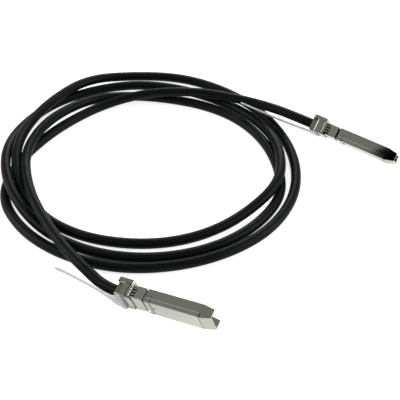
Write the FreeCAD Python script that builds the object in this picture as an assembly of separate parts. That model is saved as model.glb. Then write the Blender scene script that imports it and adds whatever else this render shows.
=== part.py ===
"""Direct attach copper cable: two pluggable metal-shelled plugs on one round cable in a loose coil.

Each plug is built once in its own frame: +X towards the nose, +Y across the width, +Z out of the
stamped cover, with X = 0 where the cover's side flanges begin. The whole part is +Z up, in
millimetres, lying on z = 0, with its origin under the middle of the two plugs and their straps.
"""
import FreeCAD, Part
import math
import os

V = FreeCAD.Vector

# ---- plug shell -----------------------------------------------------------------------------
BODY_WIDTH = 13.4
BODY_THICK = 8.5
COVER_FRONT = 34.2          # where the stamped cover ends and the nose begins
NOSE_LENGTH = 7.1
WALL = 1.0                  # cast side walls
CARD_SIDE_GAP = 0.2         # between the card and each wall
FLOOR_WALL = 1.3
EDGE_ROUND = 0.35
SEAT_GAP = 0.05             # between pieces that seat on each other
SEAM = 0.3                  # open seam between the cover and its neighbours
NOSE_RAMP = 0.8             # where the nose roof begins to slope, past the cover
NOSE_DROP = 1.5             # how far the roof has sloped down at the tip
NOSE_TAPER = 1.15           # how far each cheek draws in at the tip
NOSE_ROOF = 0.9

# ---- stamped cover --------------------------------------------------------------------------
COVER_SHEET = 0.4
COVER_PROUD = 0.3           # how far the cover's flanges stand out from the cheeks
COVER_FLANGE = 2.8
COVER_REAR = 3.6            # rear seam of the top plate; the side flanges start at X = 0

# ---- rear of the plug -----------------------------------------------------------------------
NECK_INSET = 0.45           # how far the neck under the collar draws in
GROOVE_DEEP = 0.6           # of the groove round the neck between collar and cover
COLLAR_FRONT = -1.3
COLLAR_TOP_REAR = -8.5      # the collar's rear edge on the cover's side of the plug
COLLAR_REAR = -12.1
COLLAR_SHEET = 0.25
WINDOW_PITCH = 1.9          # of the windows in the collar's band
WINDOW_WIDTH = 1.15
WINDOW_REAR = -9.8
WINDOW_FRONT = -6.5
WINDOW_GROOVE = 0.7         # depth of the hollow under them
BUMP_REAR = -11.9           # the sprung bump behind each window
BUMP_FRONT = -10.2
BUMP_HEIGHT = 0.55
REAR_END = -17.0
BLOCK_FRONT = -12.5
SADDLE_FRONT = -8.9         # the clamp's narrower front, behind the collar's top
BLOCK_WIDTH = 14.0
FLANGE_REAR = -20.4
FLANGE_FRONT = -10.4
FLANGE_WIDTH = 15.2
FLANGE_DROP = 2.0           # how far the flange stands out below the floor
FLANGE_TOP = -3.65
CLAMP_RISE = 0.6            # how far the clamp stands out above the cover
CORNER_ROUND = 1.2
CUFF_SIDE = 9.2             # the square cuff round the cable
CUFF_ROUND = 1.9
CUFF_REAR = -20.5

# ---- cable ----------------------------------------------------------------------------------
CABLE_DIAMETER = 6.6
BORE_GAP = 0.05
CABLE_START = -15.95        # where the jacket ends inside the clamp
CABLE_STRAIGHT = -30.0      # the cable leaves straight to here
FERRULE_WALL = 0.4
FERRULE_LENGTH = 3.2
FERRULE_STOP = 0.6          # ring that the jacket's end meets
FERRULE_MOUTH = 4.2         # opening in that ring for the cores

# ---- inside the plug ------------------------------------------------------------------------
CARD_THICK = 1.0
CARD_WIDTH = BODY_WIDTH - 2 * (WALL + CARD_SIDE_GAP)
CARD_TONGUE_WIDTH = 9.2
CARD_REAR = 8.0
CARD_SHOULDER = 33.6
CARD_FRONT = 39.3
CARD_BEVEL = 0.3            # on the card's entering edge
LEDGE_WIDTH = 0.9
PAD_COUNT = 10
PAD_PITCH = 0.8
PAD_WIDTH = 0.5
PAD_LENGTH = 3.6
PAD_THICK = 0.05
PAD_SETBACK = 1.0           # from the card's entering edge
CORE_DIAMETER = 1.4
CORE_SPACING = 1.6
PAIR_SPACING = 4.4
CORE_LAP = 1.6              # how far the cores lie over the card
CORE_LEVEL = 2.0            # how far behind the card they come level with it
CORE_GATHER = 0.4           # how close together they leave the ferrule, as a share
CORE_RISE = 0.76            # how far above and below the middle the cores of a pair leave it
CORE_SINK = 0.15            # how far below the plug's axis that middle is
CHIP_SIZE = (4.4, 3.9, 1.1)
CHIP_LIFT = 0.1             # under the chip's body
CHIP_LEADS = 4              # on each side
CHIP_PITCH = 1.1
CHIP_LEAD = 0.4             # width of one lead
CHIP_AT = 18.0
CAPACITOR_COUNT = 4
CAPACITOR_SIZE = (1.6, 0.8, 0.8)
CAPACITOR_AT = 28.0
CAPACITOR_PITCH = 2.2
POTTING_REAR = -5.0
POTTING_FRONT = 4.0
CAVITY_WIDTH = 9.2
CAVITY_TOP = 1.9
CAVITY_FLOOR = -1.9

# ---- release slider -------------------------------------------------------------------------
SLIDER_THICK = 0.6
SLIDER_WIDTH = 8.0
SLIDER_GAP = 0.12           # running clearance round the slider
SLIDER_TRAVEL = 1.4
SLIDER_REAR = -16.4
PLATE_REAR = 0.6            # the slider's cross plate, seen between collar and cover
PLATE_WIDTH = 12.0
RISER_FRONT = -14.2
WEB_FRONT = -8.75           # where the slider steps up behind the collar
TAB_THICK = 0.5
TAB_DROP = 0.6
TAB_SETBACK = 0.2           # from the collar's front edge back to the tab
SPRING_LENGTH = 4.6
SPRING_SHEET = 0.12
SPRING_WIDTH = 2.2
SPRING_FOLDS = 4
POST_LENGTH = 1.8
POST_WIDTH = 2.0
POST_HEIGHT = 0.4
POST_CREST = 0.5            # flat length at the post's top, behind its ramp
POST_AT = 4.6

# ---- pull strap -----------------------------------------------------------------------------
STRAP_THICK = 0.9
STRAP_ROOT_WIDTH = 14.4
STRAP_ROOT_ROUND = 1.8
STRAP_WIDTH = 8.0
STRAP_ROOT_FRONT = -13.9
STRAP_ROOT_REAR = -18.2
STRAP_NARROWS = 3.0         # how far behind the root the shoulders draw in
STRAP_TIP = ((0.3, 0.8), (0.45, 0.35))   # round end: distance and width, as shares of the width
STRAP_GAP = 0.12            # between the strap's root and the clamp
PIN_DIAMETER = 1.2
PIN_SPACING = 4.4
SCREW_HEAD = 1.9
SCREW_SHANK = 1.1
SCREW_HEAD_DEEP = 0.6
SCREW_SPACING = 10.9
SCREW_LENGTH = 7.0
SCREW_SLOT = 0.3

# ---- how each plug lies: where its own origin is, then yaw, nose-up pitch and roll in degrees ---
# strap: distance behind the root, sideways and outward shift, and twist in degrees, station by station
PLUGS = {
    "a": {"at": (-52.2, -80.1), "yaw": -27.7, "pitch": 9.3, "roll": 14.5,
          "strap": ((7, 0.7, -0.8, 4), (18, 2.0, -2.9, 11), (31, 3.5, -4.9, 12), (42, 4.9, -6.3, 12))},
    "b": {"at": (70.8, 67.2), "yaw": -31.2, "pitch": -4.5, "roll": 42.0,
          "strap": ((8, 0.0, 0.25, 0), (22, 0.3, 0.8, 0), (37, 1.0, 1.0, 2), (52, 2.0, 1.0, 4))},
}

# ---- coil: about its middle, clockwise from COIL_FIRST, one row a turn: centreline radius and
# height every COIL_STEP degrees, the height in cable diameters, so that 0.5 lies on the floor -----
COIL_MIDDLE = (-57.4, 48.8)
COIL_FIRST = -120.0
COIL_STEP = 20.0
COIL_TURNS = (
    ((97, 1.65), (86.5, 1.9), (83, 1.8), (82.5, 1.6), (79, 1.6), (76.5, 1.35),
     (77.5, 0.7), (73, 0.5), (69, 0.5), (70, 0.5), (73, 0.5), (77, 0.5),
     (82, 0.5), (89, 0.5), (90, 0.5), (88, 0.5), (88, 0.5), (89, 0.5)),
    ((89, 0.5), (90.5, 0.8), (94, 1.65), (95.5, 1.6), (99, 0.5), (97, 0.5),
     (92.5, 0.5), (88, 0.5), (82, 0.5), (80, 0.5), (83, 0.5), (84.5, 0.9),
     (86, 1.5), (87.5, 1.6), (78.5, 0.7), (75.5, 0.5), (77, 0.5), (78.5, 0.5)),
    ((80.5, 0.5), (84, 0.5), (86.5, 0.9), (89.5, 1.7), (91, 1.6), (93, 1.65),
     (101, 1.35), (100, 0.6), (96.5, 0.5), (94, 0.5), (92, 0.5), (92.5, 0.5),
     (95.5, 0.5), (98, 0.5), (95.5, 0.5), (93, 0.5), (93.5, 0.5), (96.5, 0.5)),
    ((97.5, 0.5), (99, 0.5), (98, 0.5), (85.5, 0.5), (76, 0.5), (70.5, 0.5),
     (69, 0.6), (67, 1.3), (68.5, 1.65), (76.5, 1.6)),
)
COIL_SLACK = 0.5            # room round the turns inside the coil's outer shape
COIL_HIGH = ((55, 245), (-35, 12))   # from and to angles where turns lie on one another

# ---- the two leads between the coil and the plugs, as points in the part's frame ---------------
LEAD_A = ((-92.5, -52.4, 9.2),)
LEAD_B = ((10.5, 105.6, 10.8), (29.5, 95.1, 11.6))

HALF_W = BODY_WIDTH / 2
SHELL_WIDTH = BODY_WIDTH - 2 * COVER_PROUD
HALF_SHELL = SHELL_WIDTH / 2
HALF_T = BODY_THICK / 2
NOSE_FRONT = COVER_FRONT + NOSE_LENGTH
NECK_TOP = HALF_T - NECK_INSET
SLIDER_TOP = NECK_TOP - SLIDER_GAP
SLIDER_FLOOR = SLIDER_TOP - SLIDER_THICK
CHANNEL_FLOOR = SLIDER_FLOOR - SLIDER_GAP
CLAMP_TOP = HALF_T + CLAMP_RISE
REAR_STRIP_TOP = CLAMP_TOP - SLIDER_GAP
REAR_STRIP_FLOOR = REAR_STRIP_TOP - SLIDER_THICK
STRAP_FLOOR = CLAMP_TOP + STRAP_GAP
PLATE_FRONT = COVER_REAR - SEAM


def box(x0, x1, y0, y1, z0, z1):
    """A block between two corners."""
    return Part.makeBox(x1 - x0, y1 - y0, z1 - z0, V(x0, y0, z0))


def wide(x0, x1, width, z0, z1):
    """A block centred across the plug."""
    return box(x0, x1, -width / 2, width / 2, z0, z1)


def rod(x0, x1, diameter, y=0.0, z=0.0):
    """A round bar along the plug."""
    return Part.makeCylinder(diameter / 2, x1 - x0, V(x0, y, z), V(1, 0, 0))


def prism(points, direction):
    """A closed outline pushed along a direction."""
    corners = [V(*p) for p in points]
    return Part.Face(Part.makePolygon(corners + corners[:1])).extrude(direction)


def rounded(shape, radius, keep):
    """The shape with the edges that keep() picks rounded."""
    edges = [e for e in shape.Edges if keep(e)]
    return shape.makeFillet(radius, edges) if edges else shape


def runs_along(edge, axis):
    """Whether a straight edge runs along an axis."""
    if not isinstance(edge.Curve, Part.Line):
        return False
    return abs(edge.Curve.Direction.dot(axis)) > 0.999


def fuse(shapes):
    """One solid from pieces that touch."""
    first, *rest = shapes
    return first.multiFuse(rest).removeSplitter() if rest else first


def nose_solid():
    """The nose: tapering cheeks and a sloping roof, open below and in front."""
    tip_low = -HALF_T + NOSE_TAPER
    tip_high = HALF_T - NOSE_DROP
    ramp = COVER_FRONT + NOSE_RAMP
    start = COVER_FRONT
    side = -HALF_SHELL
    outline = [(start, side, -HALF_T), (ramp, side, -HALF_T), (NOSE_FRONT, side, tip_low),
               (NOSE_FRONT, side, tip_high), (ramp, side, HALF_T), (start, side, HALF_T)]
    outer = prism(outline, V(0, SHELL_WIDTH, 0))
    inner_y = -HALF_W + WALL
    hollow = [(start - 1, inner_y, -HALF_T - 1), (NOSE_FRONT + 1, inner_y, -HALF_T - 1),
              (NOSE_FRONT + 1, inner_y, tip_high - NOSE_ROOF - NOSE_DROP / NOSE_LENGTH),
              (ramp, inner_y, HALF_T - NOSE_ROOF), (start - 1, inner_y, HALF_T - NOSE_ROOF)]
    return outer.cut(prism(hollow, V(0, BODY_WIDTH - 2 * WALL, 0)))


def cuff(z0, z1):
    """The square, round-cornered cuff round the cable, between two heights."""
    whole = wide(CUFF_REAR, REAR_END + 2, CUFF_SIDE, -CUFF_SIDE / 2, CUFF_SIDE / 2)
    whole = rounded(whole, CUFF_ROUND, lambda e: runs_along(e, V(1, 0, 0)))
    return whole.common(wide(CUFF_REAR, REAR_END + 2, CUFF_SIDE, z0, z1))


def hollow_ring(x0, x1, deep):
    """A square ring to cut from the neck: as deep as given, on all sides but the cover's."""
    across = BODY_WIDTH - 2 * NECK_INSET
    ring = wide(x0, x1, across + 2, -NECK_TOP - 1, NECK_TOP + 1)
    return ring.cut(wide(x0 - 1, x1 + 1, across - 2 * deep, -NECK_TOP + deep, NECK_TOP + 2))


def rear_block(z0, z1):
    """The block behind the collar, which grips the cable, between two heights."""
    block = wide(REAR_END, BLOCK_FRONT, BLOCK_WIDTH, z0, z1)
    return rounded(block, CORNER_ROUND, lambda e: runs_along(e, V(0, 0, 1)) and
                   e.CenterOfMass.x < REAR_END + 0.1)


def cable_way():
    """The space through the rear for the cable, its ferrule and the cores."""
    bore = rod(CUFF_REAR - 1, CABLE_START + BORE_GAP, CABLE_DIAMETER + 2 * BORE_GAP)
    seat = rod(CABLE_START - FERRULE_LENGTH / 2, CABLE_START + FERRULE_LENGTH,
               CABLE_DIAMETER + 2 * (FERRULE_WALL + BORE_GAP))
    way = wide(CABLE_START + FERRULE_LENGTH - 1, COVER_REAR + 1, CAVITY_WIDTH, CAVITY_FLOOR, CAVITY_TOP)
    return fuse([bore, seat, way])


def base_shell():
    """The cast lower shell: channel, nose, lower half of the neck and the cable clamp."""
    trough = wide(0, COVER_FRONT, SHELL_WIDTH, -HALF_T, HALF_T)
    floor = -HALF_T + FLOOR_WALL
    trough = trough.cut(wide(COVER_REAR, COVER_FRONT + 1, BODY_WIDTH - 2 * WALL, floor, HALF_T + 1))
    hull = fuse([trough, nose_solid()])
    hull = rounded(hull, EDGE_ROUND, lambda e: abs(e.Curve.Direction.x) > 0.9 and
                   abs(abs(e.CenterOfMass.y) - HALF_SHELL) < 0.01)
    hull = hull.cut(wide(-1, COVER_REAR, BODY_WIDTH + 2, 0, HALF_T + 1))
    step = COVER_SHEET + SEAT_GAP
    for side in (-1, 1):
        inner = side * (HALF_W - step)
        outer = side * (HALF_W + 1)
        hull = hull.cut(box(-1, COVER_FRONT + SEAM, min(inner, outer), max(inner, outer),
                            HALF_T - COVER_FLANGE - SEAT_GAP, HALF_T + 1))
    hull = hull.cut(wide(-1, COVER_FRONT + SEAM, BODY_WIDTH + 2, HALF_T - step, HALF_T + 1))
    ledges = []
    for side in (-1, 1):
        wall = side * (HALF_W - WALL)
        lip = side * (HALF_W - WALL - LEDGE_WIDTH)
        ledges.append(box(CARD_REAR, CARD_SHOULDER, min(wall, lip), max(wall, lip), floor,
                          -CARD_THICK / 2 - SEAT_GAP))
    neck = wide(BLOCK_FRONT, 0, BODY_WIDTH - 2 * NECK_INSET, -NECK_TOP, 0)
    neck = rounded(neck, EDGE_ROUND, lambda e: runs_along(e, V(1, 0, 0)) and e.CenterOfMass.z < -1)
    neck = neck.cut(hollow_ring(COLLAR_FRONT, 0, GROOVE_DEEP))
    neck = neck.cut(hollow_ring(WINDOW_REAR, WINDOW_FRONT, WINDOW_GROOVE))
    flange = wide(FLANGE_REAR, FLANGE_FRONT, FLANGE_WIDTH, -HALF_T - FLANGE_DROP, FLANGE_TOP)
    flange = rounded(flange, CORNER_ROUND, lambda e: runs_along(e, V(0, 0, 1)))
    flange = rounded(flange, EDGE_ROUND, lambda e: abs(e.CenterOfMass.z + HALF_T + FLANGE_DROP) < 0.01)
    shell = fuse([hull, neck, rear_block(-HALF_T, 0), flange, cuff(-CUFF_SIDE, 0)] + ledges)
    shell = shell.cut(cable_way())
    for side in (-1, 1):
        hole = Part.makeCylinder(SCREW_SHANK / 2 + SEAT_GAP, SCREW_LENGTH,
                                 V(screw_x(), side * SCREW_SPACING / 2, CLAMP_TOP - SCREW_LENGTH - SEAT_GAP))
        shell = shell.cut(hole)
    return shell


def screw_x():
    """Where along the plug the two clamp screws stand."""
    return (REAR_END + BLOCK_FRONT) / 2


def rear_clamp():
    """The cast upper half of the rear: clamp, neck and bridge, cut for the slider and its spring."""
    top = rear_block(SEAT_GAP, CLAMP_TOP)
    top = rounded(top, EDGE_ROUND, lambda e: abs(e.CenterOfMass.z - CLAMP_TOP) < 0.01)
    neck = wide(BLOCK_FRONT, 0, BODY_WIDTH - 2 * NECK_INSET, SEAT_GAP, NECK_TOP)
    neck = rounded(neck, EDGE_ROUND, lambda e: runs_along(e, V(1, 0, 0)) and e.CenterOfMass.z > 1)
    neck = neck.cut(hollow_ring(COLLAR_FRONT, 0, GROOVE_DEEP))
    neck = neck.cut(hollow_ring(WINDOW_REAR, WINDOW_FRONT, WINDOW_GROOVE))
    across = BODY_WIDTH - 2 * NECK_INSET
    saddle = wide(BLOCK_FRONT, SADDLE_FRONT, across, NECK_TOP - 2 * EDGE_ROUND, CLAMP_TOP)
    step = COVER_SHEET + 2 * SEAT_GAP
    bridge = wide(0, COVER_REAR - SEAT_GAP, BODY_WIDTH - 2 * step, SEAT_GAP, HALF_T - COVER_SHEET)
    clamp = fuse([top, neck, saddle, bridge, cuff(SEAT_GAP, CUFF_SIDE)]).cut(cable_way())
    run = SLIDER_WIDTH + 2 * SLIDER_GAP
    clamp = clamp.cut(wide(SLIDER_REAR - SLIDER_TRAVEL - SLIDER_GAP, COVER_REAR, run,
                           REAR_STRIP_FLOOR - SLIDER_GAP, CLAMP_TOP + 1))
    step_rear = WEB_FRONT - SLIDER_THICK - SLIDER_TRAVEL - SLIDER_GAP
    clamp = clamp.cut(wide(step_rear, COVER_REAR, run, CHANNEL_FLOOR, CLAMP_TOP + 1))
    clamp = clamp.cut(wide(COLLAR_FRONT, COVER_REAR, BODY_WIDTH, CHANNEL_FLOOR, CLAMP_TOP + 1))
    clamp = clamp.cut(wide(spring_rear(), tab_front() + SLIDER_GAP, SPRING_WIDTH + 2 * SLIDER_GAP,
                           CHANNEL_FLOOR - TAB_DROP - SLIDER_GAP, CHANNEL_FLOOR + 0.1))
    for side in (-1, 1):
        y = side * SCREW_SPACING / 2
        hole = Part.makeCylinder(SCREW_SHANK / 2 + SEAT_GAP, 2 * CLAMP_TOP, V(screw_x(), y, -CLAMP_TOP))
        sink_floor = CLAMP_TOP - SCREW_HEAD_DEEP - 2 * SEAT_GAP
        sink = Part.makeCylinder(SCREW_HEAD / 2 + SEAT_GAP, SCREW_HEAD_DEEP + 1, V(screw_x(), y, sink_floor))
        clamp = clamp.cut(hole).cut(sink)
    return clamp


def top_cover():
    """The stamped cover: top plate with two folded side flanges and the latch post."""
    outer = wide(0, COVER_FRONT, BODY_WIDTH, HALF_T - COVER_FLANGE, HALF_T)
    outer = rounded(outer, COVER_SHEET, lambda e: runs_along(e, V(1, 0, 0)) and
                    e.CenterOfMass.z > HALF_T - 0.1)
    cover = outer.cut(wide(-1, COVER_FRONT + 1, BODY_WIDTH - 2 * COVER_SHEET, -1, HALF_T - COVER_SHEET))
    cover = cover.cut(wide(-1, COVER_REAR, BODY_WIDTH - 2 * COVER_SHEET, 0, HALF_T + 1))
    side = -POST_WIDTH / 2
    low = HALF_T - COVER_SHEET / 4
    high = HALF_T + POST_HEIGHT
    post = prism([(POST_AT, side, low), (POST_AT + POST_LENGTH, side, low),
                  (POST_AT + POST_CREST, side, high), (POST_AT, side, high)], V(0, POST_WIDTH, 0))
    return fuse([cover, post])


def bump_bar(length):
    """A low arched bar, as long as one window is wide, standing on z = 0."""
    middle = (BUMP_REAR + BUMP_FRONT) / 2
    over = Part.Arc(V(BUMP_REAR, 0, 0), V(middle, 0, BUMP_HEIGHT), V(BUMP_FRONT, 0, 0)).toShape()
    under = Part.makeLine(V(BUMP_FRONT, 0, 0), V(BUMP_REAR, 0, 0))
    bar = Part.Face(Part.Wire([over, under])).extrude(V(0, length, 0))
    bar.translate(V(0, -length / 2, 0))
    return bar


def spring_collar():
    """The folded sheet collar that earths the shell: windows, and a sprung bump behind each."""
    across = BODY_WIDTH - 2 * NECK_INSET + 2 * SEAT_GAP
    height = 2 * NECK_TOP + 2 * SEAT_GAP
    outer = wide(COLLAR_REAR, COLLAR_FRONT, across + 2 * COLLAR_SHEET, -height / 2 - COLLAR_SHEET,
                 height / 2 + COLLAR_SHEET)
    outer = rounded(outer, EDGE_ROUND + COLLAR_SHEET, lambda e: runs_along(e, V(1, 0, 0)))
    inner = wide(COLLAR_REAR - 1, COLLAR_FRONT + 1, across, -height / 2, height / 2)
    inner = rounded(inner, EDGE_ROUND, lambda e: runs_along(e, V(1, 0, 0)))
    collar = outer.cut(inner)
    side_top = NECK_TOP - 2 * EDGE_ROUND - SEAT_GAP
    collar = collar.cut(wide(COLLAR_REAR - 1, COLLAR_TOP_REAR, 2 * BODY_WIDTH, side_top, HALF_T + 1))
    collar = collar.cut(wide(COLLAR_REAR - 1, FLANGE_FRONT + SEAM, 2 * BODY_WIDTH, -HALF_T - 1,
                             FLANGE_TOP + SEAM))
    for turn, rise, count in ((90, across / 2, 4), (180, height / 2, 6), (270, across / 2, 4)):
        for k in range(count):
            y = (k - (count - 1) / 2) * WINDOW_PITCH
            window = box(WINDOW_REAR, WINDOW_FRONT, y - WINDOW_WIDTH / 2, y + WINDOW_WIDTH / 2,
                         rise - 0.1, rise + COLLAR_SHEET + 0.1)
            window.rotate(V(0, 0, 0), V(1, 0, 0), turn)
            collar = collar.cut(window)
            if turn != 180:
                bar = bump_bar(WINDOW_WIDTH)
                bar.translate(V(0, y, rise + COLLAR_SHEET / 2))
                bar.rotate(V(0, 0, 0), V(1, 0, 0), turn)
                collar = fuse([collar, bar])
    return collar


def tab_front():
    """Front face of the slider's tab, which presses the return spring."""
    return COLLAR_FRONT - TAB_SETBACK


def spring_rear():
    """Rear wall of the spring pocket."""
    return tab_front() - TAB_THICK - SPRING_LENGTH


def release_slider():
    """The stamped slider: rear riser, strip under the collar, spring tab and front cross plate."""
    strip = wide(WEB_FRONT - SLIDER_THICK, PLATE_FRONT, SLIDER_WIDTH, SLIDER_FLOOR, SLIDER_TOP)
    web = wide(WEB_FRONT - SLIDER_THICK, WEB_FRONT, SLIDER_WIDTH, SLIDER_FLOOR, REAR_STRIP_TOP)
    rear = wide(SLIDER_REAR, WEB_FRONT, SLIDER_WIDTH, REAR_STRIP_FLOOR, REAR_STRIP_TOP)
    riser = wide(SLIDER_REAR, RISER_FRONT, SLIDER_WIDTH, REAR_STRIP_FLOOR, STRAP_FLOOR - SEAT_GAP)
    plate = wide(PLATE_REAR, PLATE_FRONT, PLATE_WIDTH, SLIDER_FLOOR, HALF_T - SEAT_GAP)
    plate = rounded(plate, EDGE_ROUND / 2, lambda e: abs(e.CenterOfMass.z - HALF_T + SEAT_GAP) < 0.01)
    tab = wide(tab_front() - TAB_THICK, tab_front(), SPRING_WIDTH, CHANNEL_FLOOR - TAB_DROP + SLIDER_GAP,
               SLIDER_FLOOR + 0.1)
    return fuse([strip, web, rear, riser, plate, tab])


def return_spring():
    """A folded leaf between the pocket's rear wall and the slider's tab."""
    x0 = spring_rear() + SEAT_GAP
    x1 = tab_front() - TAB_THICK - SEAT_GAP
    low = CHANNEL_FLOOR - TAB_DROP + SLIDER_GAP
    high = CHANNEL_FLOOR - SLIDER_GAP
    fold = (x1 - x0 - SPRING_SHEET) / SPRING_FOLDS
    line = [(x0 + k * fold, low if k % 2 else high - SPRING_SHEET) for k in range(SPRING_FOLDS + 1)]
    outline = [(x, -SPRING_WIDTH / 2, z) for x, z in line]
    outline += [(x + SPRING_SHEET, -SPRING_WIDTH / 2, z + SPRING_SHEET) for x, z in reversed(line)]
    return prism(outline, V(0, SPRING_WIDTH, 0))


def strap_section(x, shift, lift, twist, width):
    """A rectangle across the strap, shifted and twisted, as a closed wire."""
    a = math.radians(twist)
    along = V(0, math.cos(a), math.sin(a))
    out = V(0, -math.sin(a), math.cos(a))
    middle = V(x, shift, STRAP_FLOOR + STRAP_THICK / 2 + lift)
    corners = [middle + along * (s * width / 2) + out * (t * STRAP_THICK / 2)
               for s, t in ((-1, -1), (1, -1), (1, 1), (-1, 1))]
    return Part.makePolygon(corners + corners[:1])


def pull_strap(stations):
    """The moulded strap: a wide root on the clamp that narrows to a flat, twisting, round-ended pull."""
    root = wide(STRAP_ROOT_REAR, STRAP_ROOT_FRONT, STRAP_ROOT_WIDTH, STRAP_FLOOR, STRAP_FLOOR + STRAP_THICK)
    root = rounded(root, STRAP_ROOT_ROUND, lambda e: runs_along(e, V(0, 0, 1)))
    shoulder = STRAP_ROOT_WIDTH - 2 * STRAP_ROOT_ROUND
    sections = [strap_section(STRAP_ROOT_REAR + 1, 0, 0, 0, shoulder)]
    sections.append(strap_section(STRAP_ROOT_REAR - STRAP_NARROWS, 0, 0, 0, STRAP_WIDTH + 2))
    for distance, shift, lift, twist in stations:
        sections.append(strap_section(STRAP_ROOT_REAR - distance, shift, lift, twist, STRAP_WIDTH))
    distance, shift, lift, twist = stations[-1]
    for extra, share in STRAP_TIP:
        sections.append(strap_section(STRAP_ROOT_REAR - distance - STRAP_WIDTH * extra, shift, lift, twist,
                                      STRAP_WIDTH * share))
    pieces = [Part.makeLoft(sections[k:k + 2], True, True) for k in range(len(sections) - 1)]
    strap = fuse([root] + pieces)
    for y in (-PIN_SPACING / 2, PIN_SPACING / 2):
        strap = strap.cut(Part.makeCylinder(PIN_DIAMETER / 2 + SEAT_GAP, 2 * STRAP_THICK,
                                          V(pin_x(), y, STRAP_FLOOR - STRAP_THICK / 2)))
    return strap


def pin_x():
    """Where along the plug the strap's pins stand."""
    return (SLIDER_REAR + RISER_FRONT) / 2


def strap_pins():
    """Two flush pins that hold the strap's root to the slider."""
    return Part.makeCompound([
        Part.makeCylinder(PIN_DIAMETER / 2, STRAP_THICK, V(pin_x(), y, STRAP_FLOOR))
        for y in (-PIN_SPACING / 2, PIN_SPACING / 2)])


def clamp_screws():
    """Two countersunk screws that close the clamp on the cable."""
    screws = []
    for side in (-1, 1):
        y = side * SCREW_SPACING / 2
        head_floor = CLAMP_TOP - SCREW_HEAD_DEEP - SEAT_GAP
        head = Part.makeCylinder(SCREW_HEAD / 2, SCREW_HEAD_DEEP, V(screw_x(), y, head_floor))
        tip = CLAMP_TOP - SCREW_LENGTH + 2 * SEAT_GAP
        shank = Part.makeCylinder(SCREW_SHANK / 2, head_floor - tip + SEAT_GAP, V(screw_x(), y, tip))
        half = SCREW_SLOT / 2
        slot = box(screw_x() - half, screw_x() + half, y - SCREW_HEAD, y + SCREW_HEAD, CLAMP_TOP - SCREW_SLOT,
                   CLAMP_TOP)
        screws.append(fuse([head, shank]).cut(slot))
    return Part.makeCompound(screws)


def crimp_ferrule():
    """The crimped sleeve that grips the end of the cable's jacket and braid."""
    outer = CABLE_DIAMETER + 2 * FERRULE_WALL
    x0 = CABLE_START - FERRULE_LENGTH / 2 + SEAT_GAP
    x1 = CABLE_START + FERRULE_LENGTH - SEAT_GAP
    sleeve = rod(x0, x1, outer).cut(rod(x0 - 1, x1 + 1, CABLE_DIAMETER + BORE_GAP))
    stop = rod(CABLE_START + SEAT_GAP, CABLE_START + FERRULE_STOP, CABLE_DIAMETER + FERRULE_WALL / 2)
    return fuse([sleeve, stop]).cut(rod(CABLE_START - 1, x1 + 1, FERRULE_MOUTH))


def paddle_card():
    """The circuit card with its narrower contact tongue in the nose."""
    half = CARD_THICK / 2
    card = fuse([wide(CARD_REAR, CARD_SHOULDER, CARD_WIDTH, -half, half),
                 wide(CARD_SHOULDER, CARD_FRONT, CARD_TONGUE_WIDTH, -half, half)])
    bevel = [(CARD_FRONT - 2 * CARD_BEVEL, half), (CARD_FRONT, half), (CARD_FRONT, half - CARD_BEVEL)]
    for side in (-1, 1):
        cut = prism([(x, -CARD_WIDTH / 2, side * z) for x, z in bevel], V(0, CARD_WIDTH, 0))
        card = card.cut(cut)
    return card


def contact_pads():
    """Ten plated contacts on each face of the card's tongue."""
    pads = []
    front = CARD_FRONT - PAD_SETBACK
    for k in range(PAD_COUNT):
        y = (k - (PAD_COUNT - 1) / 2) * PAD_PITCH
        for side in (-1, 1):
            z0, z1 = sorted((side * CARD_THICK / 2, side * (CARD_THICK / 2 + PAD_THICK)))
            pads.append(box(front - PAD_LENGTH, front, y - PAD_WIDTH / 2, y + PAD_WIDTH / 2, z0, z1))
    return Part.makeCompound(pads)


def memory_chip():
    """The small memory chip with four leads a side."""
    length, width, height = CHIP_SIZE
    z0 = CARD_THICK / 2
    body = wide(CHIP_AT - length / 2, CHIP_AT + length / 2, width, z0 + CHIP_LIFT, z0 + height)
    leads = []
    for k in range(CHIP_LEADS):
        x = CHIP_AT + (k - (CHIP_LEADS - 1) / 2) * CHIP_PITCH
        leads.append(wide(x - CHIP_LEAD / 2, x + CHIP_LEAD / 2, width + 4 * CHIP_LEAD, z0,
                          z0 + 3 * CHIP_LIFT))
    return fuse([body] + leads)


def blocking_capacitors():
    """Four small capacitors in a row across the card."""
    length, width, height = CAPACITOR_SIZE
    row = []
    for k in range(CAPACITOR_COUNT):
        y = (k - (CAPACITOR_COUNT - 1) / 2) * CAPACITOR_PITCH
        row.append(box(CAPACITOR_AT - length / 2, CAPACITOR_AT + length / 2, y - width / 2, y + width / 2,
                       CARD_THICK / 2, CARD_THICK / 2 + height))
    return Part.makeCompound(row)


def core_heights():
    """The centre height of the cores above the card, one pair each side of the middle."""
    return CARD_THICK / 2 + CORE_DIAMETER / 2 + SEAT_GAP


def signal_pairs():
    """Two pairs of insulated cores, from the ferrule over the rear edge of the card."""
    cores = []
    start = CABLE_START + FERRULE_LENGTH
    for pair in (-1, 1):
        for core in (-1, 1):
            y = pair * PAIR_SPACING / 2 + core * CORE_SPACING / 2
            near = V(start, y * CORE_GATHER, core * CORE_RISE - CORE_SINK)
            far = V(CARD_REAR - CORE_LEVEL, y, core_heights())
            end = V(CARD_REAR + CORE_LAP, y, core_heights())
            bend = Part.makeCylinder(CORE_DIAMETER / 2, (far - near).Length, near, far - near)
            knee = Part.makeSphere(CORE_DIAMETER / 2, far)
            straight = Part.makeCylinder(CORE_DIAMETER / 2, (end - far).Length, far, end - far)
            cores.append(bend.multiFuse([knee, straight]))
    return Part.makeCompound(cores)


def potting_block():
    """The moulded block that holds the cores still behind the card."""
    block = wide(POTTING_REAR, POTTING_FRONT, CAVITY_WIDTH - 2 * SEAT_GAP, CAVITY_FLOOR + SEAT_GAP,
                 CAVITY_TOP - SEAT_GAP)
    return block.cut(signal_pairs())


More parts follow.
